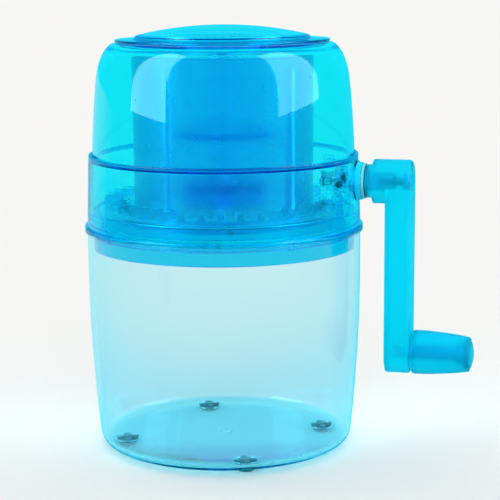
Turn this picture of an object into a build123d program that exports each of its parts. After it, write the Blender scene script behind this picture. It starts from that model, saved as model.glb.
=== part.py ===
from build123d import *
import math
import os

# Hand cranked ice shaver, in millimetres.
# Origin: on the body's vertical axis at the table plane. +Z up, +X along the crank's axis.

# ---------------------------------------------------------------- driving dimensions
# jar that catches the ice
JAR_FLOOR_Z = 2.2          # underside of the jar above the table
JAR_FLOOR_T = 2.2
JAR_WALL = 2.3
COLLAR_Z = 108.6           # plane where the jar's rim meets the housing's flange
COLLAR_R = 67.5
FLANGE_T = 1.5
JAR_OUTER = [(61.9, 8.2), (63.35, 22.0), (64.6, 39.5), (65.6, 57.0), (66.1, 74.0), (66.25, 92.0), (66.3, 107.1)]
FOOT_R = 49.3              # circle of the four feet
FOOT_ANGLE = 25.4
FOOT_HOLE_R = 2.6

# housing band
RIM_Z = 144.2
RIM_R = 65.2
BAND_R = 66.3
SPIGOT_R = 63.45
SPIGOT_IN_R = 60.8
SPIGOT_Z = 99.4
STEP_Z = 117.0
SEAT_Z = 143.3             # ledge that carries the lid
LIP_Z = 105.7              # ledge under the blade deck
DECK_Z = 107.7
DECK_T = 2.5
DECK_TOP = DECK_Z + DECK_T

# drum and ring gear
DRUM_R = 43.5
DRUM_WALL = 2.2
DRUM_Z0 = 110.8
DRUM_Z1 = 191.0
GEAR_TEETH = 40
GEAR_OUT_R = 58.3
GEAR_IN_R = 47.7
GEAR_ROOT_Z = 119.0
GEAR_TOP_Z = 122.6
FLANGE_Z = 112.4           # drum flange underside
FLANGE_TOP = 114.2

# crank
AXIS_Z = 132.0
PINION_TEETH = 8
PINION_TIP_R = 12.0
PINION_ROOT_R = 8.3
PINION_X0 = 49.4
PINION_X1 = 54.4
SHAFT_R = 3.5
RUNNING = 0.05             # radial running clearance of the shaft
BOSS_FACE_X = 66.2
BUSH_FLANGE_R = 9.0
BUSH_FLANGE_X = 68.6
NECK_R = 7.9
NECK_X = 69.9
HUB_X = 73.6
HUB_R = 10.5
ARM_X0 = 80.4
ARM_X1 = 92.2
ARM_R = 10.4
ARM_LENGTH = 82.0
GRIP_Z = AXIS_Z - ARM_LENGTH
GRIP_X0 = 93.0
GRIP_X1 = 120.6

# lid
LID_OUTER = [(63.2, 147.0), (62.9, 153.0), (62.3, 163.0), (61.6, 172.0), (60.8, 180.0), (59.8, 185.6), (57.9, 191.0), (55.3, 195.0), (52.6, 197.0)]
LID_FOOT_R = 63.2
LID_WALL = 2.2
LID_FOOT_Z = SEAT_Z + 0.1
LID_TOP_Z = 197.6
CAP_FLANGE_R = 51.5
CAP_FLANGE_Z = 198.8
CAP_RIDGE_R = 41.7
CAP_RIDGE_Z = 200.4
CAP_TOP_Z = 205.4

# spring loaded pusher
TUBE_IN_R = 20.0
TUBE_OUT_R = 21.6
TUBE_Z0 = 150.0
BEAD_R = 23.2
SLEEVE_IN_R = 23.5
SLEEVE_OUT_R = 25.4
SLEEVE_Z0 = 117.8
SLEEVE_Z1 = 152.5
PLATE_R = 37.4
PLATE_Z0 = 115.4
PLATE_Z1 = 117.6
SPRING_R = 6.5
SPRING_WIRE_R = 0.7


# ---------------------------------------------------------------- helpers
def edges_of(steps):
    """Edges through (r, z) points: ("L", p), ("A", mid, p), ("S", [points], tangent0, tangent1)."""
    def v(p):
        return Vector(p[0], 0, p[1])

    start = steps[0]
    here = start
    out = []
    for s in steps[1:]:
        if s[0] == "L":
            out.append(Edge.make_line(v(here), v(s[1])))
            here = s[1]
        elif s[0] == "A":
            out.append(Edge.make_three_point_arc(v(here), v(s[1]), v(s[2])))
            here = s[2]
        else:
            pts = [v(here)] + [v(p) for p in s[1]]
            tan = [v(s[2]), v(s[3])] if len(s) > 3 else None
            out.append(Edge.make_spline(pts, tangents=tan))
            here = s[1][-1]
    if math.dist(here, start) > 1e-6:
        out.append(Edge.make_line(v(here), v(start)))
    return out


def lathe(steps):
    """Solid turned about Z from a closed (r, z) profile."""
    return revolve(Face(Wire(edges_of(steps))), Axis.Z, 360)


def lathe_x(steps, z):
    """Solid turned about an X axis at height z from a closed (r, x) profile."""
    body = lathe(steps)
    return Pos(0, 0, z) * (Rot(0, 90, 0) * body)


def poly(points):
    return [points[0]] + [("L", p) for p in points[1:]]


def cyl(r, z0, z1, x=0.0, y=0.0):
    return Pos(x, y, z0) * Cylinder(r, z1 - z0, align=(Align.CENTER, Align.CENTER, Align.MIN))


def cyl_x(r, x0, x1, y=0.0, z=AXIS_Z):
    c = Cylinder(r, x1 - x0, align=(Align.CENTER, Align.CENTER, Align.MIN))
    return Pos(x0, y, z) * (Rot(0, 90, 0) * c)


def block(x0, x1, y0, y1, z0, z1):
    return Pos((x0 + x1) / 2, (y0 + y1) / 2, (z0 + z1) / 2) * Box(x1 - x0, y1 - y0, z1 - z0)


def ring(r0, r1, z0, z1):
    return lathe(poly([(r0, z0), (r1, z0), (r1, z1), (r0, z1)]))


def offset_profile(points, d):
    """Points moved by d towards the axis side of a profile that runs upwards."""
    out = []
    for i, p in enumerate(points):
        a = points[max(i - 1, 0)]
        b = points[min(i + 1, len(points) - 1)]
        t = (b[0] - a[0], b[1] - a[1])
        n = math.hypot(*t)
        out.append((p[0] - d * t[1] / n, p[1] + d * t[0] / n))
    return out


def crown(r, z_edge, z_top, share=0.5):
    """Point on the spherical cap that joins (r, z_edge) to (0, z_top)."""
    h = z_top - z_edge
    ball = (r * r + h * h) / (2 * h)
    return (r * share, z_top - ball + math.copysign(math.sqrt(ball * ball - (r * share) ** 2), h))


def screw(head_r, head_h, shank_r, shank_l, recess=True):
    """Pan head screw along Z: underside of the head at 0, shank down."""
    k = head_r * 0.30
    s = lathe([
        (0.0, -shank_l), ("L", (shank_r * 0.55, -shank_l)), ("L", (shank_r, -shank_l + shank_r * 0.6)),
        ("L", (shank_r, 0.0)), ("L", (head_r, 0.0)), ("L", (head_r, head_h * 0.45)),
        ("A", (head_r - k * 0.30, head_h * 0.86), (head_r - k, head_h)), ("L", (0.0, head_h)),
    ])
    if recess:
        w, l, d = head_r * 0.26, head_r * 1.05, head_h * 0.55
        s -= Pos(0, 0, head_h - d / 2) * Box(w, l, d)
        s -= Pos(0, 0, head_h - d / 2) * Box(l, w, d)
    return s


def at(x, y, z, direction, shape):
    return Plane(origin=(x, y, z), z_dir=direction).location * shape


def save(name, shape):
    os.makedirs("parts", exist_ok=True)
    solids = list(shape.solids()) if not isinstance(shape, list) else [s for t in shape for s in t.solids()]
    out = solids[0] if len(solids) == 1 else Compound(solids)
    out.label = name
    export_step(out, f"parts/{name}.step")


os.makedirs("parts", exist_ok=True)
foot_places = [
    (FOOT_R * math.cos(math.radians(FOOT_ANGLE + 90 * k)), FOOT_R * math.sin(math.radians(FOOT_ANGLE + 90 * k)))
    for k in range(4)
]

# ---------------------------------------------------------------- jar
inner_wall = offset_profile(JAR_OUTER, JAR_WALL)
inner_wall[-1] = (JAR_OUTER[-1][0] - JAR_WALL, COLLAR_Z)
floor_in = JAR_FLOOR_Z + JAR_FLOOR_T
jar = lathe([
    (0.0, JAR_FLOOR_Z),
    ("L", (56.6, JAR_FLOOR_Z)),
    ("A", (60.15, 4.0), JAR_OUTER[0]),
    ("S", JAR_OUTER[1:], (1.0, 8.0), (0.0, 1.0)),
    ("L", (COLLAR_R - 0.3, COLLAR_Z - FLANGE_T)),
    ("L", (COLLAR_R, COLLAR_Z - FLANGE_T + 0.3)),
    ("L", (COLLAR_R, COLLAR_Z)),
    ("L", inner_wall[-1]),
    ("S", [p for p in reversed(inner_wall[:-1])], (0.0, -1.0), (-1.0, -8.0)),
    ("A", (58.3, 5.4), (55.9, floor_in)),
    ("L", (0.0, floor_in)),
])
for fx, fy in foot_places:
    # thin raised ring round each foot's hole, on the inside of the floor
    jar += Pos(fx, fy, floor_in - 0.2) * (Cylinder(7.0, 0.75, align=(Align.CENTER, Align.CENTER, Align.MIN))
                                          - Cylinder(6.3, 0.75, align=(Align.CENTER, Align.CENTER, Align.MIN)))
    jar -= cyl(FOOT_HOLE_R, 0, 8, fx, fy)
# small moulding mark in the middle of the floor
jar += ring(2.6, 3.2, floor_in - 0.2, floor_in + 0.25)
save("jar", jar)

pad = lathe([
    (0.0, 0.0), ("L", (3.6, 0.0)), ("A", (3.95, 0.15), (4.1, 0.5)), ("L", (5.0, JAR_FLOOR_Z)), ("L", (FOOT_HOLE_R, JAR_FLOOR_Z)),
    ("L", (FOOT_HOLE_R, floor_in)), ("L", (1.5, floor_in)), ("L", (1.5, 1.4)), ("L", (0.0, 1.4)),
])
save("foot_pads", [Pos(fx, fy, 0) * pad for fx, fy in foot_places])

cross = (Box(10.4, 2.2, 1.1, align=(Align.CENTER, Align.CENTER, Align.MIN))
         + Box(2.2, 10.4, 1.1, align=(Align.CENTER, Align.CENTER, Align.MIN)))
plug = Pos(0, 0, floor_in) * cross + cyl(1.5, 1.4, floor_in + 0.5) + cyl(2.3, floor_in, floor_in + 1.5)
save("foot_plugs", [Pos(fx, fy, 0) * (Rot(0, 0, FOOT_ANGLE) * plug) for fx, fy in foot_places])

# ---------------------------------------------------------------- housing band
housing = lathe([
    (SPIGOT_IN_R, SPIGOT_Z), ("L", (SPIGOT_R - 0.5, SPIGOT_Z)), ("L", (SPIGOT_R, SPIGOT_Z + 0.5)),
    ("L", (SPIGOT_R, COLLAR_Z + 0.1)),
    ("L", (COLLAR_R, COLLAR_Z + 0.1)), ("L", (COLLAR_R, COLLAR_Z + FLANGE_T - 0.3)), ("L", (COLLAR_R - 0.3, COLLAR_Z + FLANGE_T)),
    ("L", (BAND_R, COLLAR_Z + FLANGE_T)),
    ("L", (RIM_R, RIM_Z - 0.6)), ("A", (RIM_R - 0.2, RIM_Z - 0.15), (RIM_R - 0.7, RIM_Z)),
    ("L", (RIM_R - 1.1, RIM_Z)), ("L", (RIM_R - 1.6, RIM_Z - 0.4)),
    ("L", (RIM_R - 1.6, SEAT_Z)), ("L", (61.9, SEAT_Z)), ("L", (61.9, SEAT_Z - 0.7)), ("L", (63.7, SEAT_Z - 1.9)),
    ("L", (64.0, STEP_Z)), ("L", (SPIGOT_IN_R, STEP_Z)),
    ("L", (SPIGOT_IN_R, DECK_Z)), ("L", (56.0, DECK_Z)), ("L", (56.0, LIP_Z)), ("L", (SPIGOT_IN_R, LIP_Z)),
])
housing += cyl_x(9.6, 64.2, BOSS_FACE_X)
housing -= cyl_x(5.4, 50.0, 70.0)
deck_pin_places = [(58.4 * math.cos(math.radians(a)), 58.4 * math.sin(math.radians(a))) for a in (45, 135, 225, 315)]
for sx, sy in deck_pin_places:
    housing -= cyl(1.3, LIP_Z - 1, DECK_Z + 1, sx, sy)
save("housing_band", housing)

# fixed deck that carries the blade
tilt = math.radians(18)
EDGE_Y, EDGE_Z = 0.0, DECK_TOP + 0.9     # cutting edge of the blade
BLADE_T, BLADE_W = 1.0, 13.0
BLADE_X0, BLADE_X1 = -40.0, -4.0


def blade_frame(u, h):
    """(y, z) of a point u back from the cutting edge along the blade and h above its top face."""
    return (EDGE_Y + u * math.cos(tilt) + h * math.sin(tilt), EDGE_Z - u * math.sin(tilt) + h * math.cos(tilt))


def prism_x(yz, x0, x1):
    face = Face(Wire([Edge.make_line(Vector(x0, *yz[i]), Vector(x0, *yz[(i + 1) % len(yz)])) for i in range(len(yz))]))
    return extrude(face, amount=x1 - x0, dir=(1, 0, 0))


deck = cyl(SPIGOT_IN_R - 0.3, DECK_Z, DECK_TOP)
deck += ring(54.4, 56.2, DECK_TOP - 0.5, 116.9)
deck += block(BLADE_X0 - 2, BLADE_X1 + 2, -0.4, 15.4, 102.4, DECK_Z + 0.5)
recess = [blade_frame(-0.6, 0.0), blade_frame(BLADE_W + 0.3, 0.0), blade_frame(BLADE_W + 0.3, 12.0), blade_frame(-0.6, 12.0)]
deck -= prism_x(recess, BLADE_X0 - 0.2, BLADE_X1 + 0.2)
deck -= prism_x([blade_frame(-1.0, 0.0), blade_frame(BLADE_W, 0.0), blade_frame(BLADE_W, -BLADE_T), blade_frame(-1.0, -BLADE_T)], BLADE_X0, BLADE_X1)
deck -= block(BLADE_X0, BLADE_X1, -6.4, 1.0, 100.0, DECK_TOP + 0.01)
blade_screws = []
for bx in (-33.0, -11.0):
    y0, z0 = blade_frame(9.0, 0.0)
    blade_screws.append(at(bx, y0, z0, (0, math.sin(tilt), math.cos(tilt)), screw(2.3, 1.1, 1.1, 4.2)))
    deck -= at(bx, y0, z0, (0, math.sin(tilt), math.cos(tilt)), Cylinder(1.1, 12.0))
for sx, sy in deck_pin_places:
    deck -= cyl(1.3, DECK_Z - 1, DECK_Z + 1.8, sx, sy)
save("blade_deck", deck)

edge = [blade_frame(0.0, -0.05), blade_frame(2.6, 0.0), blade_frame(BLADE_W, 0.0), blade_frame(BLADE_W, -BLADE_T), blade_frame(2.6, -BLADE_T)]
blade = prism_x(edge, BLADE_X0, BLADE_X1)
for bx in (-33.0, -11.0):
    y0, z0 = blade_frame(9.0, 0.0)
    blade -= at(bx, y0, z0, (0, math.sin(tilt), math.cos(tilt)), Cylinder(1.1, 6.0))
save("blade", blade)
save("blade_screws", blade_screws)
save("deck_pins", [at(sx, sy, LIP_Z, (0, 0, -1), screw(2.0, 0.9, 1.3, 3.6, recess=False)) for sx, sy in deck_pin_places])

# bush, inner bearing bracket
bush = lathe_x([
    (SHAFT_R + RUNNING, 61.6), ("L", (5.4, 61.6)), ("L", (5.4, BOSS_FACE_X)), ("L", (BUSH_FLANGE_R, BOSS_FACE_X)),
    ("L", (BUSH_FLANGE_R, BUSH_FLANGE_X - 0.4)), ("L", (BUSH_FLANGE_R - 0.4, BUSH_FLANGE_X)), ("L", (SHAFT_R + RUNNING, BUSH_FLANGE_X)),
], AXIS_Z)
save("shaft_bush", bush)

bracket = cyl_x(6.2, 55.6, 60.6)
bracket += at(57.9, -8.0, AXIS_Z - 1.4, (0, 1, 0), Cylinder(2.4, 16.0, align=(Align.CENTER, Align.CENTER, Align.MIN)))
for side in (-1, 1):
    y0, y1 = sorted((side * 3.0, side * 16.6))
    bracket += block(56.6, 58.6, y0, y1, 123.6, 126.4)
    y0, y1 = sorted((side * 13.6, side * 16.6))
    bracket += block(57.4, 60.4, y0, y1, STEP_Z, 126.4)
    # web from the collar down to the wing
    web = Face(Wire([
        Edge.make_line(Vector(56.6, side * 4.0, 136.0), Vector(56.6, side * 4.0, 126.0)),
        Edge.make_line(Vector(56.6, side * 4.0, 126.0), Vector(56.6, side * 16.2, 126.0)),
        Edge.make_line(Vector(56.6, side * 16.2, 126.0), Vector(56.6, side * 4.0, 136.0)),
    ]))
    bracket += extrude(web, amount=1.4, dir=(1, 0, 0))
bracket -= cyl_x(SHAFT_R + RUNNING, 50.0, 62.0)
for side in (-1, 1):
    bracket -= at(57.9, side * 5.4, AXIS_Z - 1.4, (0, side, 0), Cylinder(0.8, 4.0, align=(Align.CENTER, Align.CENTER, Align.MIN)))
    # spot face for each side screw
    bracket -= at(57.9, side * 8.0, AXIS_Z - 1.4, (0, side, 0), Cylinder(1.8, 10.0, align=(Align.CENTER, Align.CENTER, Align.MIN)))
save("bearing_bracket", bracket)
save("bracket_screws", [at(57.9, side * 8.0, AXIS_Z - 1.4, (0, side, 0), screw(1.6, 1.2, 0.8, 2.0)) for side in (-1, 1)])

# ---------------------------------------------------------------- drum and ring gear
drum = lathe([
    (DRUM_R - DRUM_WALL, DRUM_Z0), ("L", (DRUM_R, DRUM_Z0)), ("L", (DRUM_R, FLANGE_Z)), ("L", (50.2, FLANGE_Z)), ("L", (50.2, FLANGE_TOP)),
    ("L", (DRUM_R, FLANGE_TOP)), ("L", (DRUM_R, DRUM_Z1 - 0.8)), ("A", (DRUM_R - 0.25, DRUM_Z1 - 0.25), (DRUM_R - 0.8, DRUM_Z1)),
    ("L", (DRUM_R - DRUM_WALL, DRUM_Z1)),
])
for k in range(4):
    rib = block(38.2, DRUM_R - 1.0, -1.3, 1.3, 113.6, 186.0)
    drum += Rot(0, 0, 65 + 90 * k) * rib
drum_screw_places = [(48.9 * math.cos(math.radians(a)), 48.9 * math.sin(math.radians(a))) for a in (18, 108, 198, 288)]
for sx, sy in drum_screw_places:
    drum -= cyl(1.0, FLANGE_Z - 1, FLANGE_TOP + 1, sx, sy)
save("ice_drum", drum)

gear = lathe([
    (GEAR_IN_R, FLANGE_TOP), ("L", (50.2, FLANGE_TOP)), ("L", (50.2, 117.2)), ("L", (56.5, 117.2)), ("L", (56.5, 110.9)),
    ("L", (GEAR_OUT_R, 110.9)), ("L", (GEAR_OUT_R, GEAR_ROOT_Z)), ("L", (GEAR_IN_R, GEAR_ROOT_Z)),
])
tooth_yz = [(-2.15, GEAR_ROOT_Z - 0.4), (2.15, GEAR_ROOT_Z - 0.4), (1.75, GEAR_ROOT_Z + 1.6), (1.15, GEAR_TOP_Z - 0.1), (0.9, GEAR_TOP_Z), (-0.9, GEAR_TOP_Z), (-1.15, GEAR_TOP_Z - 0.1), (-1.75, GEAR_ROOT_Z + 1.6)]
tooth = prism_x(tooth_yz, 46.0, 60.0)
tooth = tooth & ring(48.7, GEAR_OUT_R - 0.25, GEAR_ROOT_Z - 1.0, GEAR_TOP_Z + 1.0)
gear = gear + [Rot(0, 0, 360.0 / GEAR_TEETH * (k + 0.5)) * tooth for k in range(GEAR_TEETH)]
for sx, sy in drum_screw_places:
    gear -= cyl(1.0, FLANGE_TOP - 1, FLANGE_TOP + 2.4, sx, sy)
save("ring_gear", gear)
save("drum_screws", [at(sx, sy, FLANGE_Z, (0, 0, -1), screw(2.0, 1.2, 1.0, 4.2)) for sx, sy in drum_screw_places])

# ---------------------------------------------------------------- crank
shaft = cyl_x(SHAFT_R, PINION_X0, 84.0)
shaft -= cyl_x(1.3, PINION_X0 - 1, 57.0)
shaft -= cyl_x(1.5, 76.0, 85.0)
save("crank_shaft", shaft)

tooth2 = prism_x([(-2.0, -PINION_ROOT_R + 0.8), (-1.85, -PINION_ROOT_R), (-1.45, -10.4), (-0.85, -PINION_TIP_R + 0.1), (-0.6, -PINION_TIP_R),
                  (0.6, -PINION_TIP_R), (0.85, -PINION_TIP_R + 0.1), (1.45, -10.4), (1.85, -PINION_ROOT_R), (2.0, -PINION_ROOT_R + 0.8)], PINION_X0, PINION_X1)
pinion = cyl_x(PINION_ROOT_R, PINION_X0, PINION_X1, z=0.0)
pinion = pinion + [Rot(360.0 / PINION_TEETH * k, 0, 0) * tooth2 for k in range(PINION_TEETH)]
pinion -= cyl_x(SHAFT_R, PINION_X0 - 1, PINION_X1 + 1, z=0.0)
pinion = Pos(0, 0, AXIS_Z) * pinion
save("drive_pinion", pinion)
save("pinion_screw", at(PINION_X0, 0, AXIS_Z, (-1, 0, 0), screw(3.6, 1.5, 1.3, 7.6)))
save("thrust_washer", lathe_x(poly([(SHAFT_R + 0.1, BUSH_FLANGE_X + 0.2), (8.4, BUSH_FLANGE_X + 0.2), (8.4, NECK_X), (SHAFT_R + 0.1, NECK_X)]), AXIS_Z))

slab = Face(Wire([
    Edge.make_line(Vector(ARM_X0, -ARM_R, GRIP_Z), Vector(ARM_X0, -ARM_R, AXIS_Z)),
    Edge.make_three_point_arc(Vector(ARM_X0, -ARM_R, AXIS_Z), Vector(ARM_X0, 0, AXIS_Z + ARM_R), Vector(ARM_X0, ARM_R, AXIS_Z)),
    Edge.make_line(Vector(ARM_X0, ARM_R, AXIS_Z), Vector(ARM_X0, ARM_R, GRIP_Z)),
    Edge.make_three_point_arc(Vector(ARM_X0, ARM_R, GRIP_Z), Vector(ARM_X0, 0, GRIP_Z - ARM_R), Vector(ARM_X0, -ARM_R, GRIP_Z)),
]))
arm = extrude(slab, amount=ARM_X1 - ARM_X0, dir=(1, 0, 0))
arm = fillet(arm.faces().sort_by(Axis.X)[-1].edges(), 1.6)
arm = fillet(arm.faces().sort_by(Axis.X)[0].edges(), 0.8)
hub = lathe_x([
    (0.0, NECK_X), ("L", (NECK_R, NECK_X)), ("L", (NECK_R, HUB_X)), ("L", (HUB_R - 0.6, HUB_X)),
    ("A", (HUB_R - 0.18, HUB_X + 0.18), (HUB_R, HUB_X + 0.6)), ("L", (HUB_R, 90.4)), ("L", (0.0, 90.4)),
], AXIS_Z)
arm = arm + hub
arm -= cyl_x(SHAFT_R, NECK_X - 1, 84.0)
arm -= cyl_x(1.5, 83.0, 92.0)
arm -= cyl_x(3.7, 88.4, 93.0)
arm -= cyl_x(3.0, 84.0, 93.0, z=GRIP_Z)
save("crank_arm", arm)
save("crank_screw", at(88.4, 0, AXIS_Z, (1, 0, 0), screw(3.4, 2.0, 1.5, 12.4)))

spindle = lathe_x([
    (0.0, 84.0), ("L", (3.0, 84.0)), ("L", (3.0, 115.0)), ("L", (4.7, 115.0)), ("L", (4.7, 116.8)), ("L", (4.3, 117.2)), ("L", (0.0, 117.2)),
], GRIP_Z)
spindle -= Pos(116.9, 0, GRIP_Z) * Box(1.2, 6.0, 1.0)
save("grip_spindle", spindle)

grip = lathe_x([
    (3.06, GRIP_X0), ("L", (9.4, GRIP_X0)), ("A", (10.15, GRIP_X0 + 0.3), (10.45, GRIP_X0 + 1.1)),
    ("S", [(10.5, 97.5), (10.2, 103.5), (9.5, 111.5), (8.35, 119.4)], (0.05, 1.0), (-0.2, 1.0)),
    ("A", (8.05, 120.25), (7.4, GRIP_X1)),
    ("L", (6.4, GRIP_X1)), ("L", (6.4, 118.2)), ("L", (5.3, 118.2)), ("L", (5.3, 114.7)), ("L", (3.06, 114.7)),
], GRIP_Z)
save("grip_sleeve", grip)
cap_end = lathe_x([
    (0.0, 118.2), ("L", (6.4, 118.2)), ("L", (6.4, GRIP_X1)), ("L", (7.3, GRIP_X1)), ("A", crown(7.3, GRIP_X1, 122.2), (0.0, 122.2)),
], GRIP_Z)
save("grip_cap", cap_end)

# ---------------------------------------------------------------- lid
lid_in = offset_profile([(LID_FOOT_R, LID_FOOT_Z)] + LID_OUTER, LID_WALL)
lid_in[0] = (LID_FOOT_R - LID_WALL, LID_FOOT_Z)
lid_in = lid_in[:-1] + [(50.4, LID_TOP_Z - LID_WALL - 0.2)]
lid = lathe([
    (LID_FOOT_R - LID_WALL, LID_FOOT_Z), ("L", (LID_FOOT_R, LID_FOOT_Z)),
    ("L", LID_OUTER[0]),
    ("S", LID_OUTER[1:], (0.0, 1.0), (-1.0, 0.28)),
    ("L", (50.0, LID_TOP_Z)), ("L", (TUBE_OUT_R + 0.2, LID_TOP_Z)), ("L", (TUBE_OUT_R + 0.2, LID_TOP_Z - LID_WALL - 0.2)),
    ("L", (50.4, LID_TOP_Z - LID_WALL - 0.2)),
    ("S", [p for p in reversed(lid_in[1:-1])], (1.0, -0.05), (0.0, -1.0)),
    ("L", (LID_FOOT_R - LID_WALL, LID_FOOT_Z)),
])
guide_screw_places = [(25.2 * math.cos(math.radians(a)), 25.2 * math.sin(math.radians(a))) for a in (90, 210, 330)]
for sx, sy in guide_screw_places:
    lid -= cyl(0.9, LID_TOP_Z - 4, LID_TOP_Z + 1, sx, sy)
save("lid_dome", lid)

cap = lathe([
    (36.0, LID_TOP_Z), ("L", (CAP_FLANGE_R - 0.3, LID_TOP_Z)), ("L", (CAP_FLANGE_R, LID_TOP_Z + 0.3)), ("L", (CAP_FLANGE_R, CAP_FLANGE_Z - 0.3)),
    ("L", (CAP_FLANGE_R - 0.3, CAP_FLANGE_Z)),
    ("L", (43.6, CAP_FLANGE_Z)), ("A", (42.4, 199.3), (CAP_RIDGE_R, CAP_RIDGE_Z)), ("L", (CAP_RIDGE_R - 0.9, CAP_RIDGE_Z + 0.35)),
    ("A", crown(CAP_RIDGE_R - 0.9, CAP_RIDGE_Z + 0.35, CAP_TOP_Z), (0.0, CAP_TOP_Z)),
    ("L", (0.0, CAP_TOP_Z - 2.0)), ("A", crown(38.6, 199.0, CAP_TOP_Z - 2.0), (38.6, 199.0)), ("L", (36.0, 199.0)),
])
save("lid_cap", cap)

tube = lathe([
    (3.4, 186.0), ("L", (5.0, 186.0)), ("L", (5.0, 196.0)), ("L", (TUBE_IN_R, 196.0)), ("L", (TUBE_IN_R, TUBE_Z0)),
    ("L", (BEAD_R, TUBE_Z0)), ("L", (BEAD_R, TUBE_Z0 + 2.3)), ("L", (TUBE_OUT_R, TUBE_Z0 + 2.3)),
    ("L", (TUBE_OUT_R, LID_TOP_Z)), ("L", (28.0, LID_TOP_Z)), ("L", (28.0, 199.2)), ("L", (3.4, 199.2)),
])
for sx, sy in guide_screw_places:
    tube -= cyl(0.9, LID_TOP_Z - 1, 201, sx, sy)
save("guide_tube", tube)
save("guide_screws", [at(sx, sy, 199.2, (0, 0, 1), screw(1.9, 1.1, 0.9, 3.4)) for sx, sy in guide_screw_places])

# ---------------------------------------------------------------- pusher
sleeve = lathe(poly([(2.6, SLEEVE_Z0), (SLEEVE_OUT_R, SLEEVE_Z0), (SLEEVE_OUT_R, SLEEVE_Z1), (SLEEVE_IN_R, SLEEVE_Z1),
                     (SLEEVE_IN_R, SLEEVE_Z0 + 1.6), (2.6, SLEEVE_Z0 + 1.6)]))
save("pusher_sleeve", sleeve)
save("pusher_collar", lathe(poly([(TUBE_OUT_R + 0.3, SLEEVE_Z1), (SLEEVE_OUT_R, SLEEVE_Z1), (SLEEVE_OUT_R + 0.7, SLEEVE_Z1 + 0.5),
                                  (SLEEVE_OUT_R + 0.7, SLEEVE_Z1 + 2.2), (SLEEVE_OUT_R + 0.2, SLEEVE_Z1 + 2.7), (TUBE_OUT_R + 0.3, SLEEVE_Z1 + 2.7)])))
cup = lathe(poly([(2.6, SLEEVE_Z0 + 1.6), (19.6, SLEEVE_Z0 + 1.6), (19.6, 129.4), (8.2, 129.4), (8.2, 126.0), (5.0, 126.0), (5.0, 140.0), (2.6, 140.0)]))
save("spring_cup", cup)
# pivot screw of the press plate, from below into the cup
pivot = lathe(poly([(0.0, 113.6), (4.2, 113.6), (4.6, 114.0), (4.6, PLATE_Z0 - 0.2), (3.4, PLATE_Z0 - 0.2), (3.4, SLEEVE_Z0), (2.6, SLEEVE_Z0), (2.6, 136.0), (0.0, 136.0)]))
pivot -= Pos(0, 0, 113.8) * Box(6.0, 1.0, 1.2)
save("plate_pivot", pivot)

plate = lathe([
    (3.5, PLATE_Z0), ("L", (PLATE_R - 0.4, PLATE_Z0)), ("L", (PLATE_R, PLATE_Z0 + 0.4)), ("L", (PLATE_R, PLATE_Z1 - 0.4)), ("L", (PLATE_R - 0.4, PLATE_Z1)), ("L", (3.5, PLATE_Z1)),
])
spikes = []
for n, r in ((6, 14.0), (10, 23.5), (14, 33.0)):
    for k in range(n):
        a = math.radians(360.0 / n * k + 7.0 * n)
        spikes.append(Pos(r * math.cos(a), r * math.sin(a), 112.8) * Cone(0.35, 1.9, PLATE_Z0 - 112.8 + 0.3, align=(Align.CENTER, Align.CENTER, Align.MIN)))
plate = plate + spikes
save("press_plate", plate)

# compression spring between the lid's tube and the cup
turns = 9
z_low, z_high = 126.0 + SPRING_WIRE_R + 0.05, 196.0 - SPRING_WIRE_R - 0.05
helix = Edge.make_helix(pitch=(z_high - z_low) / turns, height=z_high - z_low, radius=SPRING_R, center=(0, 0, z_low))
start = helix.position_at(0)
wire_section = Face(Wire(Edge.make_circle(SPRING_WIRE_R, Plane(origin=start, z_dir=helix.tangent_at(0)))))
spring = sweep(wire_section, path=Wire(helix), is_frenet=True)
save("pusher_spring", spring)
print("spring volume", round(spring.volume, 1), "expected", round(helix.length * math.pi * SPRING_WIRE_R ** 2, 1))
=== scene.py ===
import bpy
import bmesh
import math
from mathutils import Matrix, Vector


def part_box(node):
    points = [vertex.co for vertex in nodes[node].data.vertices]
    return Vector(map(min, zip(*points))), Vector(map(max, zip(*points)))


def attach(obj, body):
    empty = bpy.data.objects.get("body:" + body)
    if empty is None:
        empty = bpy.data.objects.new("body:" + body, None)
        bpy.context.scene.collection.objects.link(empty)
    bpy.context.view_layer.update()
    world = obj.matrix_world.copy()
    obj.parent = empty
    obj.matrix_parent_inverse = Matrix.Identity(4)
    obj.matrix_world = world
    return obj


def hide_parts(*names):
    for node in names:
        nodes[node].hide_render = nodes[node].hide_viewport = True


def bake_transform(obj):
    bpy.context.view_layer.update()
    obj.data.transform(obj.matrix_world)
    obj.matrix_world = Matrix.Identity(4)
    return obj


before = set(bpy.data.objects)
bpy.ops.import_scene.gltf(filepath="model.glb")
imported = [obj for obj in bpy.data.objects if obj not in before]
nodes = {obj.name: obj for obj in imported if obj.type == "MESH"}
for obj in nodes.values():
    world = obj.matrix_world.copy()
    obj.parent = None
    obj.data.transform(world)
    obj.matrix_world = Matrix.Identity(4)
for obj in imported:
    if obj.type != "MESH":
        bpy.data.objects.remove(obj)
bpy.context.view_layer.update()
scene = bpy.context.scene


# ------------------------------------------------------------------ materials
def new_material(name):
    m = bpy.data.materials.new(name)
    m.use_nodes = True
    nt = m.node_tree
    nt.nodes.clear()
    out = nt.nodes.new("ShaderNodeOutputMaterial")
    out.location = (600, 0)
    return m, nt, out


def noise(nt, coord, scale, detail=3.0, rough=0.5, distortion=0.0):
    n = nt.nodes.new("ShaderNodeTexNoise")
    n.inputs["Scale"].default_value = scale
    n.inputs["Detail"].default_value = detail
    n.inputs["Roughness"].default_value = rough
    n.inputs["Distortion"].default_value = distortion
    nt.links.new(coord, n.inputs["Vector"])
    return n


def mix_colour(nt, fac, a, b):
    n = nt.nodes.new("ShaderNodeMix")
    n.data_type = "RGBA"
    nt.links.new(fac, n.inputs[0])
    n.inputs[6].default_value = (*a, 1)
    n.inputs[7].default_value = (*b, 1)
    return n.outputs[2]


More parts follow.
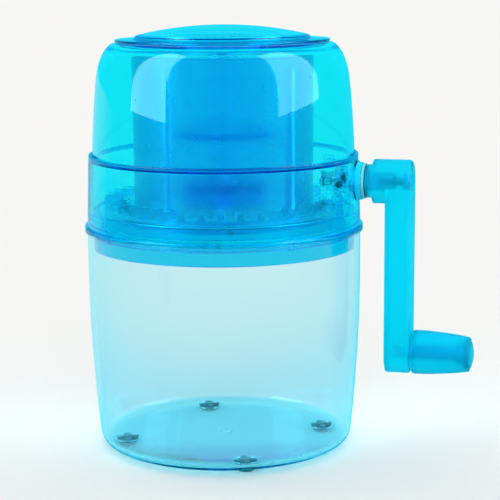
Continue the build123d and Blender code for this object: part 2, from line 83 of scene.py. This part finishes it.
def ranged(nt, value, lo, hi, a=0.3, b=0.7):
    n = nt.nodes.new("ShaderNodeMapRange")
    nt.links.new(value, n.inputs["Value"])
    n.inputs["From Min"].default_value = a
    n.inputs["From Max"].default_value = b
    n.inputs["To Min"].default_value = lo
    n.inputs["To Max"].default_value = hi
    return n.outputs["Result"]


def plastic(name, tint, tint2, absorb=None, rough=(0.02, 0.05), ior=1.49, transmission=1.0, spec_tint=(0.5, 0.85, 1.0),
            spec=0.5, bump=0.02, bump_scale=60.0, bump_distance=0.001, colour_scale=25.0, coat=0.0, thin_rough_scale=140.0,
            painted_light_bands=()):
    """Moulded plastic. absorb is (red, green, blue) per metre. The height bands, the last argument, are (height where
    it starts, height where it is full, tint), downwards; they paint light and shade into the base colour.
    """
    m, nt, out = new_material(name)
    p = nt.nodes.new("ShaderNodeBsdfPrincipled")
    p.location = (300, 0)
    tc = nt.nodes.new("ShaderNodeTexCoord")
    coord = tc.outputs["Object"]
    n1 = noise(nt, coord, colour_scale, 4.0)
    colour = mix_colour(nt, ranged(nt, n1.outputs["Fac"], 0.0, 1.0), tint, tint2)
    if painted_light_bands:
        height = nt.nodes.new("ShaderNodeSeparateXYZ")
        nt.links.new(coord, height.inputs[0])
    # painted light and shade: each band mixes its tint into the base colour by height
    for top, full, deep in painted_light_bands:
        n = nt.nodes.new("ShaderNodeMix")
        n.data_type = "RGBA"
        nt.links.new(ranged(nt, height.outputs["Z"], 0.0, 1.0, top, full), n.inputs[0])
        nt.links.new(colour, n.inputs[6])
        n.inputs[7].default_value = (*deep, 1)
        colour = n.outputs[2]
    nt.links.new(colour, p.inputs["Base Color"])
    n2 = noise(nt, coord, thin_rough_scale, 5.0, 0.6)
    nt.links.new(ranged(nt, n2.outputs["Fac"], rough[0], rough[1]), p.inputs["Roughness"])
    if bump > 0:
        n3 = noise(nt, coord, bump_scale, 2.0, 0.4)
        b = nt.nodes.new("ShaderNodeBump")
        b.inputs["Strength"].default_value = bump
        b.inputs["Distance"].default_value = bump_distance
        nt.links.new(n3.outputs["Fac"], b.inputs["Height"])
        nt.links.new(b.outputs["Normal"], p.inputs["Normal"])
    p.inputs["IOR"].default_value = ior
    p.inputs["Transmission Weight"].default_value = transmission
    p.inputs["Specular Tint"].default_value = (*spec_tint, 1)
    p.inputs["Specular IOR Level"].default_value = spec
    p.inputs["Coat Weight"].default_value = coat
    nt.links.new(p.outputs[0], out.inputs["Surface"])
    if absorb is not None:
        density = max(absorb)
        v = nt.nodes.new("ShaderNodeVolumeAbsorption")
        v.inputs["Density"].default_value = density
        v.inputs["Color"].default_value = (*[1.0 - a / density for a in absorb], 1)
        nt.links.new(v.outputs[0], out.inputs["Volume"])
    return m


def metal(name, a, b, rough, scale=400.0, stretch=(1.0, 1.0, 1.0), bump=0.05):
    m, nt, out = new_material(name)
    p = nt.nodes.new("ShaderNodeBsdfPrincipled")
    tc = nt.nodes.new("ShaderNodeTexCoord")
    mp = nt.nodes.new("ShaderNodeMapping")
    mp.inputs["Scale"].default_value = stretch
    nt.links.new(tc.outputs["Object"], mp.inputs["Vector"])
    n1 = noise(nt, mp.outputs[0], scale, 4.0, 0.6)
    nt.links.new(mix_colour(nt, n1.outputs["Fac"], a, b), p.inputs["Base Color"])
    nt.links.new(ranged(nt, n1.outputs["Fac"], rough[0], rough[1]), p.inputs["Roughness"])
    bp = nt.nodes.new("ShaderNodeBump")
    bp.inputs["Strength"].default_value = bump
    bp.inputs["Distance"].default_value = 0.0003
    nt.links.new(n1.outputs["Fac"], bp.inputs["Height"])
    nt.links.new(bp.outputs["Normal"], p.inputs["Normal"])
    p.inputs["Metallic"].default_value = 1.0
    nt.links.new(p.outputs[0], out.inputs["Surface"])
    return m


def matte(name, a, b, rough, scale=200.0, bump=0.1, spec_tint=(1, 1, 1)):
    m, nt, out = new_material(name)
    p = nt.nodes.new("ShaderNodeBsdfPrincipled")
    tc = nt.nodes.new("ShaderNodeTexCoord")
    n1 = noise(nt, tc.outputs["Object"], scale, 4.0, 0.6)
    nt.links.new(mix_colour(nt, ranged(nt, n1.outputs["Fac"], 0.0, 1.0), a, b), p.inputs["Base Color"])
    nt.links.new(ranged(nt, n1.outputs["Fac"], rough[0], rough[1]), p.inputs["Roughness"])
    bp = nt.nodes.new("ShaderNodeBump")
    bp.inputs["Strength"].default_value = bump
    bp.inputs["Distance"].default_value = 0.0003
    nt.links.new(n1.outputs["Fac"], bp.inputs["Height"])
    nt.links.new(bp.outputs["Normal"], p.inputs["Normal"])
    p.inputs["Specular Tint"].default_value = (*spec_tint, 1)
    nt.links.new(p.outputs[0], out.inputs["Surface"])
    return m


WHITE = (1.0, 1.0, 1.0)
M = {}
# painted light and shade: the height bands tint the jar deeper cyan towards the bottom and deepest in its floor, for
# the blue-tinted light and shade that the parts above cast under it
M["jar"] = plastic("jar_plastic", (0.97, 0.99, 1.0), WHITE, absorb=(100, 16, 4), rough=(0.0, 0.015), bump=0.01,
                   painted_light_bands=((0.075, 0.015, (0.82, 0.96, 1.0)), (0.0062, 0.0052, (0.45, 0.92, 0.97))))
# partly painted shade: the height bands darken the housing below 108.8 mm and above 143 mm, adding to the dark lines
# that refraction makes at the collar and the rim
M["housing"] = plastic("housing_plastic", (0.90, 0.97, 1.0), WHITE, absorb=(1050, 26, 3), rough=(0.0, 0.02),
                       painted_light_bands=((0.1088, 0.1080, (0.02, 0.68, 0.90)), (0.1423, 0.1430, (0.01, 0.45, 0.76))))
M["lid"] = plastic("lid_plastic", (0.90, 0.97, 1.0), WHITE, absorb=(1000, 26, 3), rough=(0.0, 0.02))
M["cap"] = plastic("lid_cap_plastic", (0.90, 0.97, 1.0), WHITE, absorb=(1000, 34, 9), rough=(0.0, 0.02))
# pieces that touch their neighbours carry their tint on the surface
M["drum"] = plastic("drum_plastic", (0.16, 0.70, 0.95), (0.21, 0.74, 0.97), rough=(0.26, 0.34), ior=1.35)
M["gear"] = plastic("gear_plastic", (0.30, 0.87, 0.99), (0.36, 0.90, 1.0), rough=(0.40, 0.50), ior=1.09)
M["tube"] = plastic("tube_plastic", (0.80, 0.95, 1.0), (0.88, 0.97, 1.0), rough=(0.20, 0.28), ior=1.15)
M["sleeve"] = plastic("sleeve_plastic", (0.80, 0.95, 1.0), (0.88, 0.97, 1.0), rough=(0.20, 0.28), ior=1.15)
# painted light and shade: the height bands tint the cup and the collar in stripes, deep blue near 127 mm, pale from 130
# to 150 mm and mid blue below 125 mm and above 151 mm
M["cup"] = plastic("cup_plastic", (0.09, 0.32, 0.74), (0.12, 0.35, 0.77), rough=(0.08, 0.12), ior=1.08,
                   painted_light_bands=((0.1262, 0.1245, (0.27, 0.50, 0.85)), (0.1295, 0.1300, (0.85, 0.96, 1.0)), (0.1500, 0.1510, (0.25, 0.52, 0.88))))
M["deck"] = plastic("deck_plastic", (0.66, 0.92, 0.99), (0.74, 0.95, 1.0), rough=(0.10, 0.16), ior=1.20)
M["plate"] = plastic("plate_plastic", (0.70, 0.92, 1.0), (0.78, 0.95, 1.0), rough=(0.15, 0.25), ior=1.14)
M["bracket"] = plastic("bracket_plastic", (0.45, 0.82, 0.97), (0.53, 0.86, 1.0), rough=(0.12, 0.20), ior=1.12)
M["bush"] = plastic("bush_plastic", (0.01, 0.68, 0.90), (0.02, 0.72, 0.94), rough=(0.30, 0.40), ior=1.14, transmission=0.5)
M["shaft"] = plastic("shaft_plastic", (0.60, 0.92, 1.0), (0.68, 0.94, 1.0), rough=(0.20, 0.30), ior=1.12)
M["pinion"] = plastic("pinion_plastic", (0.70, 0.95, 1.0), (0.78, 0.97, 1.0), rough=(0.20, 0.30), ior=1.10)
M["crank"] = plastic("crank_plastic", (0.0, 0.69, 0.93), (0.002, 0.74, 0.97), rough=(0.30, 0.38), ior=1.35, transmission=0.78, spec_tint=(0.1, 0.75, 1.0),
                     spec=0.3, bump=0.05, bump_scale=900.0, bump_distance=0.0002)
# painted shade and light: the grip is a darker copy of the crank plastic and the grip end a lighter copy
M["grip"] = plastic("grip_shaded_copy_plastic", (0.0, 0.62, 0.88), (0.002, 0.68, 0.93), rough=(0.30, 0.38), ior=1.35, transmission=0.78, spec_tint=(0.1, 0.75, 1.0),
                    spec=0.3, bump=0.05, bump_scale=900.0, bump_distance=0.0002)
M["grip_end"] = plastic("grip_end_lit_copy_plastic", (0.0, 0.78, 0.97), (0.002, 0.83, 1.0), rough=(0.30, 0.38), ior=1.35, transmission=0.78, spec_tint=(0.1, 0.75, 1.0),
                        spec=0.3, bump=0.05, bump_scale=900.0, bump_distance=0.0002)
M["pale"] = plastic("pale_plastic", (0.30, 0.85, 0.95), (0.35, 0.88, 0.97), rough=(0.30, 0.40), transmission=0.5)
M["rubber"] = matte("foot_rubber_skin", (0.006, 0.15, 0.21), (0.010, 0.19, 0.26), (0.5, 0.65))
M["plug"] = matte("plug_plastic", (0.015, 0.14, 0.18), (0.02, 0.18, 0.22), (0.4, 0.5))
M["steel"] = metal("brushed_steel", (0.55, 0.56, 0.58), (0.7, 0.71, 0.72), (0.18, 0.35))
# painted light: the spring wire, the tinted steel and the nickel are coloured cyan in darker and lighter copies,
# standing in for the blue light that reaches them through the clear plastic
M["spring"] = metal("spring_wire", (0.16, 0.50, 0.78), (0.22, 0.56, 0.84), (0.35, 0.50))
M["blue_lit"] = metal("tinted_steel", (0.28, 0.66, 0.84), (0.36, 0.72, 0.90), (0.40, 0.52))
M["nickel"] = metal("dull_nickel", (0.62, 0.90, 0.97), (0.72, 0.94, 1.0), (0.48, 0.58))
M["dark"] = metal("dark_steel", (0.05, 0.05, 0.06), (0.09, 0.09, 0.1), (0.25, 0.4))

USE = {
    "jar": "jar", "foot_pads": "rubber", "foot_plugs": "plug", "housing_band": "housing", "blade_deck": "deck", "blade": "steel",
    "blade_screws": "steel", "deck_pins": "pinion", "shaft_bush": "bush", "bearing_bracket": "bracket", "bracket_screws": "dark",
    "ice_drum": "drum", "ring_gear": "gear", "drum_screws": "steel", "crank_arm": "crank", "crank_shaft": "shaft",
    "drive_pinion": "pinion", "pinion_screw": "nickel", "thrust_washer": "pale", "crank_screw": "blue_lit", "grip_spindle": "nickel",
    "grip_sleeve": "grip", "grip_cap": "grip_end", "lid_dome": "lid", "lid_cap": "cap", "guide_tube": "tube", "guide_screws": "steel",
    "pusher_spring": "spring", "pusher_sleeve": "sleeve", "pusher_collar": "cup", "spring_cup": "cup", "plate_pivot": "blue_lit",
    "press_plate": "plate",
}
CLEAR = ("jar", "housing_band", "blade_deck", "ice_drum", "ring_gear", "lid_dome", "lid_cap", "guide_tube", "pusher_sleeve", "pusher_collar",
         "spring_cup", "press_plate", "bearing_bracket", "shaft_bush", "crank_shaft", "drive_pinion")
for name, key in USE.items():
    if name not in nodes:
        continue
    o = nodes[name]
    o.data.materials.clear()
    o.data.materials.append(M[key])
    o.data.polygons.foreach_set("use_smooth", [True] * len(o.data.polygons))
    o.data.set_sharp_from_angle(angle=math.radians(28))
    if name in CLEAR:
        o.visible_shadow = False

# ------------------------------------------------------------------ pieces
def arc(a, b, c, n):
    """n points after a on the arc through a, b and c."""
    ax, ay, bx, by, cx, cy = *a, *b, *c
    d = 2 * (ax * (by - cy) + bx * (cy - ay) + cx * (ay - by))
    ux = ((ax * ax + ay * ay) * (by - cy) + (bx * bx + by * by) * (cy - ay) + (cx * cx + cy * cy) * (ay - by)) / d
    uy = ((ax * ax + ay * ay) * (cx - bx) + (bx * bx + by * by) * (ax - cx) + (cx * cx + cy * cy) * (bx - ax)) / d
    r = math.hypot(ax - ux, ay - uy)
    a0, a1, a2 = (math.atan2(q[1] - uy, q[0] - ux) for q in (a, b, c))
    turn = (a2 - a0) % (2 * math.pi)
    if (a1 - a0) % (2 * math.pi) > turn:
        turn -= 2 * math.pi
    return [(ux + r * math.cos(a0 + turn * k / n), uy + r * math.sin(a0 + turn * k / n)) for k in range(1, n + 1)]


def curve(points, t0, t1, n):
    """n points in each span of a smooth curve through the points, t0 and t1 its end directions."""
    m = [None] * len(points)
    for i in range(1, len(points) - 1):
        m[i] = ((points[i + 1][0] - points[i - 1][0]) / 2, (points[i + 1][1] - points[i - 1][1]) / 2)
    for i, j, t in ((0, 1, t0), (len(points) - 1, len(points) - 2, t1)):
        span = math.dist(points[i], points[j]) / math.hypot(*t)
        m[i] = (t[0] * span, t[1] * span)
    out = []
    for i in range(len(points) - 1):
        span = math.dist(points[i], points[i + 1])
        p0, p1 = points[i], points[i + 1]
        k0 = span / math.hypot(*m[i])
        k1 = span / math.hypot(*m[i + 1])
        for k in range(1, n + 1):
            t = k / n
            h = (2 * t ** 3 - 3 * t ** 2 + 1, t ** 3 - 2 * t ** 2 + t, -2 * t ** 3 + 3 * t ** 2, t ** 3 - t ** 2)
            out.append(tuple(h[0] * p0[c] + h[1] * m[i][c] * k0 + h[2] * p1[c] + h[3] * m[i + 1][c] * k1 for c in (0, 1)))
    return out


def outline(steps, corner=0.2, spans=8):
    """(r, z) points in mm of a closed profile, with its hard corners rounded."""
    pts = [steps[0]]
    hard = [True]
    for st in steps[1:]:
        if st[0] == "L":
            new = [st[1]]
        elif st[0] == "A":
            new = arc(pts[-1], st[1], st[2], 10)
        else:
            new = curve([pts[-1]] + st[1], st[2], st[3], spans)
        pts += new
    if math.dist(pts[0], pts[-1]) < 1e-6:
        pts.pop()
    out = []
    count = len(pts)
    for i, q in enumerate(pts):
        a, b = pts[i - 1], pts[(i + 1) % count]
        u = Vector((a[0] - q[0], a[1] - q[1]))
        v = Vector((b[0] - q[0], b[1] - q[1]))
        if q[0] < 1e-6 or u.length < 1e-6 or v.length < 1e-6 or math.degrees(math.pi - u.angle(v)) < 20:
            out.append(q)
            continue
        r = min(corner, 0.36 * u.length, 0.36 * v.length)
        e = min(0.3 * r, 0.05)
        c = Vector(q)
        p0, p1 = c + u.normalized() * r, c + v.normalized() * r
        out.append(tuple(c + u.normalized() * (r + e)))
        for k in range(7):
            t = k / 6
            out.append(tuple((1 - t) ** 2 * p0 + 2 * t * (1 - t) * c + t ** 2 * p1))
        out.append(tuple(c + v.normalized() * (r + e)))
    return out


def turned(bm, pts, seg, centre=(0.0, 0.0)):
    """Adds the closed profile, turned about a vertical line, to bm."""
    loops = []
    for r, z in pts:
        if r < 1e-6:
            loops.append([bm.verts.new((centre[0] / 1000, centre[1] / 1000, z / 1000))])
        else:
            loops.append([bm.verts.new(((centre[0] + r * math.cos(a)) / 1000, (centre[1] + r * math.sin(a)) / 1000, z / 1000))
                          for a in (2 * math.pi * k / seg for k in range(seg))])
    for i, low in enumerate(loops):
        high = loops[(i + 1) % len(loops)]
        if len(low) == 1 and len(high) == 1:
            continue
        for k in range(seg):
            j = (k + 1) % seg
            if len(low) == 1:
                bm.faces.new((low[0], high[j], high[k]))
            elif len(high) == 1:
                bm.faces.new((low[k], low[j], high[0]))
            else:
                bm.faces.new((low[k], low[j], high[j], high[k]))


def lathe_piece(name, body, node, key, profiles, seg=384, cut=()):
    """Closed turned piece that stands for a CAD node; profiles are (points, (x, y), segments)."""
    bm = bmesh.new()
    for pts, centre, n in profiles:
        turned(bm, pts, n or seg, centre)
    bmesh.ops.recalc_face_normals(bm, faces=bm.faces)
    me = bpy.data.meshes.new(name)
    bm.to_mesh(me)
    bm.free()
    me.polygons.foreach_set("use_smooth", [True] * len(me.polygons))
    o = bpy.data.objects.new(name, me)
    scene.collection.objects.link(o)
    me.materials.append(M[key])
    me.set_sharp_from_angle(angle=math.radians(32))
    o.visible_shadow = False
    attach(o, body)
    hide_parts(node)
    return o


def inwards(points, d):
    """Points moved by d towards the axis side of a profile that runs upwards."""
    out = []
    for i, q in enumerate(points):
        a, b = points[max(i - 1, 0)], points[min(i + 1, len(points) - 1)]
        t = (b[0] - a[0], b[1] - a[1])
        n = math.hypot(*t)
        out.append((q[0] - d * t[1] / n, q[1] + d * t[0] / n))
    return out


GAP = 0.03
jar_wall = [(61.9, 8.2), (63.35, 22.0), (64.6, 39.5), (65.6, 57.0), (66.1, 74.0), (66.25, 92.0), (66.3, 107.1)]
jar_inner = inwards(jar_wall, 2.3)
jar_inner[-1] = (64.0, 108.6)
jar_profile = outline([
    (0.0, 2.2), ("L", (56.6, 2.2)), ("A", (60.15, 4.0), jar_wall[0]), ("S", jar_wall[1:], (1.0, 8.0), (0.0, 1.0)),
    ("L", (67.2, 107.1)), ("L", (67.5, 107.4)), ("L", (67.5, 108.6)), ("L", jar_inner[-1]),
    ("S", list(reversed(jar_inner[:-1])), (0.0, -1.0), (-1.0, -8.0)), ("A", (58.3, 5.4), (55.9, 4.4)), ("L", (0.0, 4.4)),
])
ring_profile = outline([(6.3, 4.4 + GAP), ("L", (7.0, 4.4 + GAP)), ("L", (6.95, 4.95)), ("L", (6.35, 4.95))], corner=0.15)
mark_profile = outline([(2.6, 4.4 + GAP), ("L", (3.2, 4.4 + GAP)), ("L", (3.15, 4.65)), ("L", (2.65, 4.65))], corner=0.08)
feet = [(49.3 * math.cos(math.radians(25.4 + 90 * k)), 49.3 * math.sin(math.radians(25.4 + 90 * k))) for k in range(4)]
jar = lathe_piece("jar_shell", "jar", "jar", "jar",
                  [(jar_profile, (0, 0), 0), (mark_profile, (0, 0), 64)] + [(ring_profile, f, 96) for f in feet])

lid_outer = [(63.2, 147.0), (62.9, 153.0), (62.3, 163.0), (61.6, 172.0), (60.8, 180.0), (59.8, 185.6), (57.9, 191.0), (55.3, 195.0), (52.6, 197.0)]
lid_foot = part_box("lid_dome")[0][2] * 1000
lid_inner = inwards([(63.2, lid_foot)] + lid_outer, 2.2)
lid_inner = [(61.0, lid_foot)] + lid_inner[1:-1]
lid_top = 197.6 - GAP
lid_profile = outline([
    (61.0, lid_foot), ("L", (63.2, lid_foot)), ("L", lid_outer[0]), ("S", lid_outer[1:], (0.0, 1.0), (-1.0, 0.28)),
    ("L", (50.0, lid_top)), ("L", (21.9, lid_top)), ("L", (21.9, 195.2)), ("L", (50.4, 195.2)),
    ("S", list(reversed(lid_inner[1:])), (1.0, -0.05), (0.0, -1.0)),
])
lid = lathe_piece("lid_shell", "lid", "lid_dome", "lid", [(lid_profile, (0, 0), 0)])


def crown(r, z_edge, z_top, share=0.5):
    h = z_top - z_edge
    ball = (r * r + h * h) / (2 * h)
    return (r * share, z_top - ball + math.copysign(math.sqrt(ball * ball - (r * share) ** 2), h))


def crown_line(r, z_edge, z_top, n, inward=True):
    """Points along the shallow ball between (r, z_edge) and (0, z_top)."""
    line = [(r * (1 - k / n), crown(r, z_edge, z_top, 1 - k / n)[1]) for k in range(n + 1)]
    return line if inward else list(reversed(line))


cap_profile = outline([
    (36.0, 197.6 + GAP), ("L", (51.2, 197.6 + GAP)), ("L", (51.5, 197.9)), ("L", (51.5, 198.5)), ("L", (51.2, 198.8)),
    ("L", (43.6, 198.8)), ("A", (42.4, 199.3), (41.7, 200.4)), ("L", (40.8, 200.75)),
] + [("L", q) for q in crown_line(40.8, 200.75, 205.4, 40)[1:]] + [("L", q) for q in crown_line(38.6, 199.0, 203.4, 40, False)] + [
    ("L", (36.0, 199.0)),
])
cap = lathe_piece("lid_lens", "lid", "lid_cap", "cap", [(cap_profile, (0, 0), 0)])

seat = lid_foot - 0.1
housing_profile = outline([
    (60.8, 99.4), ("L", (62.95, 99.4)), ("L", (63.45, 99.9)), ("L", (63.45, 108.7)), ("L", (67.5, 108.7)), ("L", (67.5, 109.8)),
    ("L", (67.2, 110.1)), ("L", (66.3, 110.1)), ("L", (65.2, 143.6)), ("A", (65.0, 144.05), (64.5, 144.2)), ("L", (64.1, 144.2)),
    ("L", (63.6, 143.8)), ("L", (63.6, seat)), ("L", (61.9, seat)), ("L", (61.9, seat - 0.7)), ("L", (63.7, seat - 1.9)),
    ("L", (64.0, 117.0 - GAP)), ("L", (60.8, 117.0 - GAP)), ("L", (60.8, 107.7 + GAP)), ("L", (56.0, 107.7 - GAP)), ("L", (56.0, 105.7)), ("L", (60.8, 105.7)),
])


def rod_x(name, r, x0, x1, z, seg=96):
    bm = bmesh.new()
    ends = []
    for x in (x0, x1):
        ends.append([bm.verts.new((x / 1000, r * math.cos(a) / 1000, (z + r * math.sin(a)) / 1000)) for a in (2 * math.pi * k / seg for k in range(seg))])
    for k in range(seg):
        j = (k + 1) % seg
        bm.faces.new((ends[0][k], ends[0][j], ends[1][j], ends[1][k]))
    bm.faces.new(ends[0])
    bm.faces.new(ends[1])
    bmesh.ops.recalc_face_normals(bm, faces=bm.faces)
    me = bpy.data.meshes.new(name)
    bm.to_mesh(me)
    bm.free()
    return bpy.data.objects.new(name, me)


housing = lathe_piece("housing_shell", "housing", "housing_band", "housing", [(housing_profile, (0, 0), 0)])
tools = []
for tool, operation in ((rod_x("pad_tool", 9.6, 64.2, 66.2 - GAP, 132.0), "UNION"), (rod_x("bore_tool", 5.42, 50.0, 70.0, 132.0), "DIFFERENCE")):
    scene.collection.objects.link(tool)
    tools.append(tool)
    b = housing.modifiers.new(tool.name, "BOOLEAN")
    b.operation = operation
    b.solver = "EXACT"
    b.object = tool
bpy.context.view_layer.update()
solid = bpy.data.meshes.new_from_object(housing.evaluated_get(bpy.context.evaluated_depsgraph_get()))
housing.modifiers.clear()
housing.data = solid
solid.polygons.foreach_set("use_smooth", [True] * len(solid.polygons))
solid.set_sharp_from_angle(angle=math.radians(32))
for tool in tools:
    bpy.data.objects.remove(tool)


def straight(points, corner=0.25):
    return outline([points[0]] + [("L", q) for q in points[1:]], corner=corner)


sleeve = lathe_piece("pusher_tube", "pusher", "pusher_sleeve", "sleeve", [(straight([
    (2.65, 117.8 + GAP), (25.4, 117.8 + GAP), (25.4, 152.5 - GAP), (23.5, 152.5 - GAP), (23.5, 119.4), (2.65, 119.4)]), (0, 0), 192)])
seat_cup = lathe_piece("spring_seat", "pusher", "spring_cup", "cup", [(straight([
    (2.65, 119.4 + GAP), (19.6, 119.4 + GAP), (19.6, 129.4), (8.2, 129.4), (8.2, 126.0), (5.0, 126.0), (5.0, 140.0), (2.65, 140.0)], 0.4), (0, 0), 192)])
stop = lathe_piece("stop_collar", "pusher", "pusher_collar", "cup", [(straight([
    (21.9, 152.5), (25.4, 152.5), (26.1, 153.0), (26.1, 154.7), (25.6, 155.2), (21.9, 155.2)]), (0, 0), 192)])


def spring_piece(name, radius, wire, z0, z1, turns, per_turn=32, around=12):
    """Compression spring with a flat closed turn at each end, as one closed tube."""
    n = turns * per_turn
    rise = []
    for i in range(n + 1):
        t = i / per_turn
        edge = min(t, turns - t)
        rise.append(0.28 + 0.72 * min(max((edge - 0.7) / 0.6, 0.0), 1.0))
    height = [0.0]
    for i in range(n):
        height.append(height[-1] + (rise[i] + rise[i + 1]) / 2)
    bm = bmesh.new()
    rings = []
    for i in range(n + 1):
        a = 2 * math.pi * i / per_turn
        z = z0 + (z1 - z0) * height[i] / height[-1]
        slope = (z1 - z0) * rise[i] / height[-1] * per_turn / (2 * math.pi)
        tangent = Vector((-math.sin(a) * radius, math.cos(a) * radius, slope)).normalized()
        out = Vector((math.cos(a), math.sin(a), 0))
        side = tangent.cross(out)
        c = Vector((math.cos(a) * radius, math.sin(a) * radius, z))
        rings.append([bm.verts.new(c + wire * (math.cos(b) * out + math.sin(b) * side))
                      for b in (2 * math.pi * k / around for k in range(around))])
    for r0, r1 in zip(rings, rings[1:]):
        for k in range(around):
            bm.faces.new((r0[k], r0[(k + 1) % around], r1[(k + 1) % around], r1[k]))
    bm.faces.new(list(reversed(rings[0])))
    bm.faces.new(rings[-1])
    bmesh.ops.recalc_face_normals(bm, faces=bm.faces)
    me = bpy.data.meshes.new(name)
    bm.to_mesh(me)
    bm.free()
    me.polygons.foreach_set("use_smooth", [True] * len(me.polygons))
    o = bpy.data.objects.new(name, me)
    scene.collection.objects.link(o)
    return o


spring = spring_piece("spring_coil", 0.0065, 0.0007, 0.12675, 0.19525, 9)
spring.data.materials.append(M["spring"])
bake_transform(spring)
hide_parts("pusher_spring")
made = [spring, jar, lid, cap, housing, sleeve, seat_cup, stop]

# ------------------------------------------------------------------ stage
def mirror_ray(nt):
    """1 for light that reaches a glossy surface by reflection, so that the room is darker in reflections than behind
    the clear plastic; the world and the floor turn cyan there, and the floor's cyan is a painted reflection colour.
    """
    lp = nt.nodes.new("ShaderNodeLightPath")
    n = nt.nodes.new("ShaderNodeMath")
    n.operation = "SUBTRACT"
    n.use_clamp = True
    nt.links.new(lp.outputs["Is Glossy Ray"], n.inputs[0])
    nt.links.new(lp.outputs["Is Transmission Ray"], n.inputs[1])
    return n.outputs[0]


me = bpy.data.meshes.new("floor")
bm = bmesh.new()
S = 60.0
vs = [bm.verts.new((x, y, 0.0)) for x, y in ((-S, -S), (S, -S), (S, S), (-S, S))]
bm.faces.new(vs)
bm.to_mesh(me)
bm.free()
floor = bpy.data.objects.new("floor", me)
scene.collection.objects.link(floor)
m, nt, out = new_material("floor_pale")
p = nt.nodes.new("ShaderNodeBsdfPrincipled")
p.inputs["Roughness"].default_value = 0.9
p.inputs["Specular IOR Level"].default_value = 0.0
tc = nt.nodes.new("ShaderNodeTexCoord")
flat = nt.nodes.new("ShaderNodeVectorMath")
flat.operation = "NORMALIZE"
nt.links.new(tc.outputs["Object"], flat.inputs[0])
toward = nt.nodes.new("ShaderNodeVectorMath")
toward.operation = "DOT_PRODUCT"
nt.links.new(flat.outputs[0], toward.inputs[0])
toward.inputs[1].default_value = (-0.645, 0.764, 0.0)
# painted reflection: seen directly the floor is pale, but in reflections it is painted cyan, paler on the side towards
# the back left
pale_side = ranged(nt, toward.outputs["Value"], 0.0, 1.0, 0.72, 0.92)
n = nt.nodes.new("ShaderNodeMix")
n.data_type = "RGBA"
nt.links.new(mirror_ray(nt), n.inputs[0])
n.inputs[6].default_value = (0.93, 0.925, 0.905, 1)
nt.links.new(mix_colour(nt, pale_side, (0.04, 0.78, 0.98), (0.42, 0.92, 1.0)), n.inputs[7])
nt.links.new(n.outputs[2], p.inputs["Base Color"])
nt.links.new(p.outputs[0], out.inputs["Surface"])
me.materials.append(m)

world = bpy.data.worlds.new("studio")
scene.world = world
world.use_nodes = True
wt = world.node_tree
bg = wt.nodes["Background"]
wt.links.new(mix_colour(wt, mirror_ray(wt), (1.0, 1.0, 1.0), (0.03, 0.82, 1.12)), bg.inputs["Color"])
bg.inputs["Strength"].default_value = 1.0

lit = bpy.data.collections.new("lit_by_softboxes")
for o in list(nodes.values()) + made:
    lit.objects.link(o)


def softbox(name, azimuth, distance, low, high, w, radiance):
    """Upright rectangular panel from height low to high, azimuth in degrees to the right of the camera as seen from the object."""
    a = math.radians(azimuth) + math.radians(15)
    place = Vector((math.sin(a) * distance, -math.cos(a) * distance, (low + high) / 2))
    d = bpy.data.lights.new(name, "AREA")
    d.shape = "RECTANGLE"
    d.size, d.size_y = w, high - low
    d.energy = radiance * math.pi * w * (high - low)
    o = bpy.data.objects.new(name, d)
    scene.collection.objects.link(o)
    o.location = place
    o.rotation_mode = "QUATERNION"
    o.rotation_quaternion = Vector((-place.x, -place.y, 0)).to_track_quat("-Z", "Y")
    o.light_linking.receiver_collection = lit
    return o


softbox("softbox_left", -68, 1.2, 0.20, 2.3, 0.78, 3.9)
softbox("softbox_right", 70, 1.2, 0.22, 2.3, 0.97, 3.2)

# ------------------------------------------------------------------ camera
cam_data = bpy.data.cameras.new("camera")
cam = bpy.data.objects.new("camera", cam_data)
scene.collection.objects.link(cam)
scene.camera = cam
cam_data.sensor_width = 36.0
cam_data.lens = 112.53
cam_data.clip_start, cam_data.clip_end = 0.05, 200.0
eye = Vector((0.1949, -0.7273, 0.2299))
target = Vector((0.01207, 0.00324, 0.0960))
back = (eye - target).normalized()
right = Vector((0, 0, 1)).cross(back).normalized()
up = back.cross(right)
roll = -0.007
r2 = right * math.cos(roll) + up * math.sin(roll)
u2 = back.cross(r2)
cam.matrix_world = Matrix((
    (r2.x, u2.x, back.x, eye.x),
    (r2.y, u2.y, back.y, eye.y),
    (r2.z, u2.z, back.z, eye.z),
    (0, 0, 0, 1),
))

# ------------------------------------------------------------------ light paths and tone
scene.view_settings.view_transform = "Standard"
scene.view_settings.look = "None"
scene.view_settings.exposure = 0.0
scene.view_settings.gamma = 1.0
scene.cycles.max_bounces = 72
scene.cycles.transmission_bounces = 48
scene.cycles.glossy_bounces = 48
scene.cycles.diffuse_bounces = 4
scene.cycles.volume_bounces = 0
scene.cycles.transparent_max_bounces = 16

bpy.context.view_layer.update()
